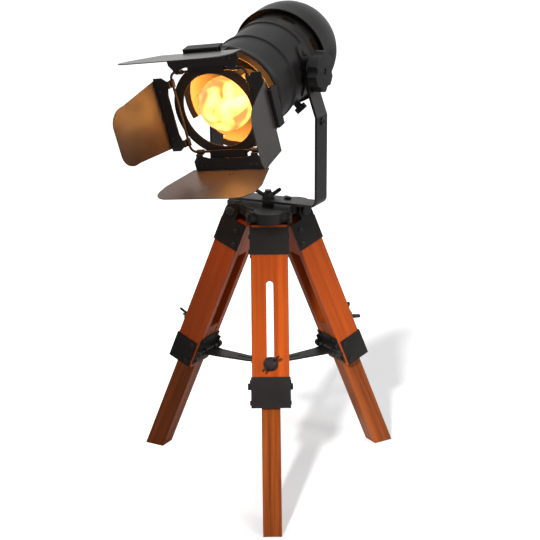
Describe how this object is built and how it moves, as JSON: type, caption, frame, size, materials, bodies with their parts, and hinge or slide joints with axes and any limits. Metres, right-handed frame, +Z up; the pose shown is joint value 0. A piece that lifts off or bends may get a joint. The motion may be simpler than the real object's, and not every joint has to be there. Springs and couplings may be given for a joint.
{
  "type": "tabletop searchlight lamp",
  "caption": "Tabletop searchlight lamp: drum head with bulb and four hinged barn-door flaps, in a U yoke on a folding wooden tripod stand.",
  "frame": {"origin": "on the vertical axis of the stand's hub, at the plane the feet stand on", "axes": "+Z up along the stand's axis; -Y along the front leg's foot; +X to the right of it"},
  "size_m": [0.3429, 0.3368, 0.6014],
  "materials": {
    "wood_legs": "satin",
    "black_metal": "satin",
    "black_sheet": "matte",
    "dark_blades": "matte",
    "black_cast": "satin",
    "black_screws": "satin",
    "black_plastic": "matte",
    "bulb_glass": "gloss",
    "brass_cap": "satin",
    "filament": "satin"
  },
  "bodies": {
    "hub": {"hub": "black_cast", "hub_stud": "black_screws", "hinge_bolts": "black_screws"},
    "pan_wing_nut": {"pan_wing_nut": "black_cast"},
    "leg_front": {"upper_leg_front": "wood_legs", "upper_cap_front": "black_metal", "lower_cap_front": "black_metal", "leg_screws_front": "black_screws", "keeper_front": "black_metal", "keeper_pin_front": "black_screws"},
    "arm_front": {"spreader_arm_front": "black_metal"},
    "lower_front": {"lower_leg_front": "wood_legs"},
    "wing_bolt_front": {"wing_bolt_front": "black_cast"},
    "leg_right": {"upper_leg_right": "wood_legs", "upper_cap_right": "black_metal", "lower_cap_right": "black_metal", "leg_screws_right": "black_screws", "keeper_right": "black_metal", "keeper_pin_right": "black_screws"},
    "arm_right": {"spreader_arm_right": "black_metal"},
    "lower_right": {"lower_leg_right": "wood_legs"},
    "wing_bolt_right": {"wing_bolt_right": "black_cast"},
    "leg_left": {"upper_leg_left": "wood_legs", "upper_cap_left": "black_metal", "lower_cap_left": "black_metal", "leg_screws_left": "black_screws", "keeper_left": "black_metal", "keeper_pin_left": "black_screws"},
    "arm_left": {"spreader_arm_left": "black_metal"},
    "lower_left": {"lower_leg_left": "wood_legs"},
    "wing_bolt_left": {"wing_bolt_left": "black_cast"},
    "centre_link": {"centre_link": "black_metal"},
    "yoke": {"yoke": "black_metal", "yoke_screws": "black_screws"},
    "head": {"can_body": "black_sheet", "front_hood": "black_sheet", "rear_housing": "black_sheet", "back_cover": "black_sheet", "cover_standoffs": "black_metal", "pivot_plates": "black_metal", "plate_screws": "black_screws", "pivot_studs": "black_screws", "lampholder": "black_plastic", "bulb_glass": "bulb_glass", "bulb_cap": "brass_cap", "filament": "filament", "wire_frame": "black_metal", "ring_plate": "black_sheet", "gel_clips": "black_sheet"},
    "tilt_knob_right": {"tilt_knob_right": "black_plastic"},
    "tilt_knob_left": {"tilt_knob_left": "black_plastic"},
    "thumb_screw": {"thumb_screw": "black_cast"},
    "flap_top": {"flap_leaf_top": "black_metal", "flap_blade_top": "dark_blades"},
    "flap_bottom": {"flap_leaf_bottom": "black_metal", "flap_blade_bottom": "dark_blades"},
    "flap_left": {"flap_leaf_left": "black_metal", "flap_blade_left": "dark_blades"},
    "flap_right": {"flap_leaf_right": "black_metal", "flap_blade_right": "dark_blades"}
  },
  "joints": [
    {"name": "pan_nut_turn", "type": "hinge", "parent": "hub", "child": "pan_wing_nut", "pos_m": [0, 0, 0.37], "axis": [0, 0, 1], "continuous": true},
    {"name": "leg_front_fold", "type": "hinge", "parent": "hub", "child": "leg_front", "pos_m": [0, -0.03952, 0.34988], "axis": [1, 0, 0], "range_deg": [0, 14]},
    {"name": "leg_right_fold", "type": "hinge", "parent": "hub", "child": "leg_right", "pos_m": [0.03423, 0.01976, 0.34988], "axis": [-0.5, 0.866, 0], "range_deg": [0, 14]},
    {"name": "leg_left_fold", "type": "hinge", "parent": "hub", "child": "leg_left", "pos_m": [-0.03423, 0.01976, 0.34988], "axis": [-0.5, -0.866, 0], "range_deg": [0, 14]},
    {"name": "arm_front_turn", "type": "hinge", "parent": "leg_front", "child": "arm_front", "pos_m": [0, -0.09065, 0.15099], "axis": [1, 0, 0], "range_deg": [0, 62.5]},
    {"name": "arm_right_turn", "type": "hinge", "parent": "leg_right", "child": "arm_right", "pos_m": [0.07851, 0.04533, 0.15099], "axis": [-0.5, 0.866, 0], "range_deg": [0, 62.5]},
    {"name": "arm_left_turn", "type": "hinge", "parent": "leg_left", "child": "arm_left", "pos_m": [-0.07851, 0.04533, 0.15099], "axis": [-0.5, -0.866, 0], "range_deg": [0, 62.5]},
    {"name": "link_rise", "type": "slide", "parent": "hub", "child": "centre_link", "axis": [0, 0, 1], "range_m": [0, 0.0627]},
    {"name": "lower_front_slide", "type": "slide", "parent": "leg_front", "child": "lower_front", "axis": [0, 0.3923, 0.9198], "range_m": [0, 0.092]},
    {"name": "wing_bolt_front_turn", "type": "hinge", "parent": "lower_front", "child": "wing_bolt_front", "pos_m": [0, -0.11679, 0.1904], "axis": [0, -0.9198, 0.3923], "continuous": true},
    {"name": "lower_right_slide", "type": "slide", "parent": "leg_right", "child": "lower_right", "axis": [-0.3398, -0.1962, 0.9198], "range_m": [0, 0.092]},
    {"name": "wing_bolt_right_turn", "type": "hinge", "parent": "lower_right", "child": "wing_bolt_right", "pos_m": [0.10114, 0.05839, 0.1904], "axis": [0.7966, 0.4599, 0.3923], "continuous": true},
    {"name": "lower_left_slide", "type": "slide", "parent": "leg_left", "child": "lower_left", "axis": [0.3398, -0.1962, 0.9198], "range_m": [0, 0.092]},
    {"name": "wing_bolt_left_turn", "type": "hinge", "parent": "lower_left", "child": "wing_bolt_left", "pos_m": [-0.10114, 0.05839, 0.1904], "axis": [-0.7966, 0.4599, 0.3923], "continuous": true},
    {"name": "pan", "type": "hinge", "parent": "hub", "child": "yoke", "pos_m": [0, 0, 0.363], "axis": [0, 0, 1], "range_deg": [-170, 170]},
    {"name": "tilt", "type": "hinge", "parent": "yoke", "child": "head", "pos_m": [0, 0, 0.5265], "axis": [0.891, -0.454, 0], "range_deg": [-104, 26]},
    {"name": "knob_right_turn", "type": "hinge", "parent": "head", "child": "tilt_knob_right", "pos_m": [0, 0, 0.5265], "axis": [0.891, -0.454, 0], "continuous": true},
    {"name": "knob_left_turn", "type": "hinge", "parent": "head", "child": "tilt_knob_left", "pos_m": [0, 0, 0.5265], "axis": [0.891, -0.454, 0], "continuous": true},
    {"name": "thumb_screw_turn", "type": "hinge", "parent": "head", "child": "thumb_screw", "pos_m": [-0.00132, -0.00259, 0.52577], "axis": [0.6569, -0.1267, -0.7433], "continuous": true},
    {"name": "flap_top_swing", "type": "hinge", "parent": "head", "child": "flap_top", "pos_m": [-0.06903, -0.12177, 0.54173], "axis": [-0.8698, 0.4777, -0.1233], "range_deg": [-60, 0]},
    {"name": "flap_bottom_swing", "type": "hinge", "parent": "head", "child": "flap_bottom", "pos_m": [-0.04726, -0.10647, 0.44741], "axis": [-0.8698, 0.4777, -0.1233], "range_deg": [0, 45]},
    {"name": "flap_left_swing", "type": "hinge", "parent": "head", "child": "flap_left", "pos_m": [-0.10077, -0.09071, 0.48852], "axis": [-0.2222, -0.1561, 0.9624], "range_deg": [-30, 88]},
    {"name": "flap_right_swing", "type": "hinge", "parent": "head", "child": "flap_right", "pos_m": [-0.01553, -0.13753, 0.50061], "axis": [-0.2222, -0.1561, 0.9624], "range_deg": [-88, 0]}
  ],
  "couplings": [
    {"joint": "leg_right_fold", "follows": "leg_front_fold", "ratio": 1},
    {"joint": "leg_left_fold", "follows": "leg_front_fold", "ratio": 1},
    {"joint": "arm_front_turn", "follows": "leg_front_fold", "ratio": 4.459},
    {"joint": "arm_right_turn", "follows": "leg_front_fold", "ratio": 4.459},
    {"joint": "arm_left_turn", "follows": "leg_front_fold", "ratio": 4.459},
    {"joint": "link_rise", "follows": "leg_front_fold", "m_per_rad": 0.256}
  ]
}
